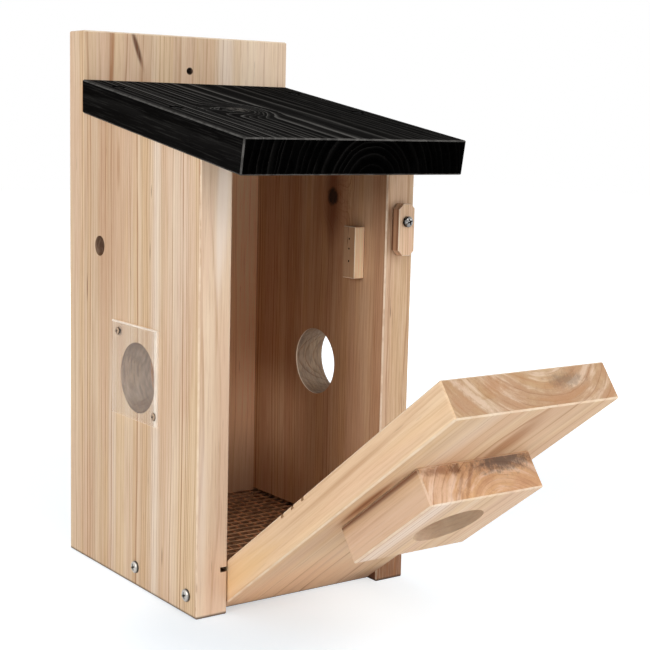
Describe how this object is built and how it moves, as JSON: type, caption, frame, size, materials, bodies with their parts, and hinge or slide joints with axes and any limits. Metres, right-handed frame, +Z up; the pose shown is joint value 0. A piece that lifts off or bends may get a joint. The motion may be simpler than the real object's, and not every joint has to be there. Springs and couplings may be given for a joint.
{
  "type": "nest box",
  "caption": "Wooden nest box with a sloping black roof, side windows, a mesh floor and a front door that folds down, locked by a wooden turn button.",
  "frame": {"origin": "middle of the flat base, on the surface that the box stands on: the middle of the house's width, and of its depth from the front edges of the side boards to the back board's rear face", "axes": "+Z up, the front faces -Y, +X to the viewer's right"},
  "size_m": [0.1498, 0.3409, 0.323],
  "materials": {
    "pale_wood": "bare planed softwood",
    "black_wood": "satin black stain",
    "clear_pane": "slightly hazy clear acrylic",
    "mesh_wire": "dull welded wire",
    "bright_screw": "plated steel",
    "black_screw": "black",
    "brad": "dull steel"
  },
  "bodies": {
    "house": {"back_board": "pale_wood", "left_side": "pale_wood", "right_side": "pale_wood", "roof_board": "black_wood", "floor_board": "pale_wood", "floor_mesh": "mesh_wire", "left_window": "clear_pane", "right_window": "clear_pane", "window_screws": "bright_screw", "roof_screws": "black_screw", "back_screws": "bright_screw", "floor_screws": "bright_screw", "door_stop": "pale_wood", "stop_brads": "brad", "button_screw": "bright_screw", "pivot_screws": "bright_screw"},
    "door": {"door_board": "pale_wood", "hole_guard": "pale_wood", "guard_screws": "bright_screw"},
    "button": {"turn_button": "pale_wood"}
  },
  "joints": [
    {"name": "door_hinge", "type": "hinge", "parent": "house", "child": "door", "pos_m": [0, -0.068, 0.0115], "axis": [1, 0, 0], "range_deg": [-53.3, 26.8]},
    {"name": "button_turn", "type": "hinge", "parent": "house", "child": "button", "pos_m": [0.0625, -0.0783, 0.21637], "axis": [0, 1, 0], "continuous": true}
  ]
}
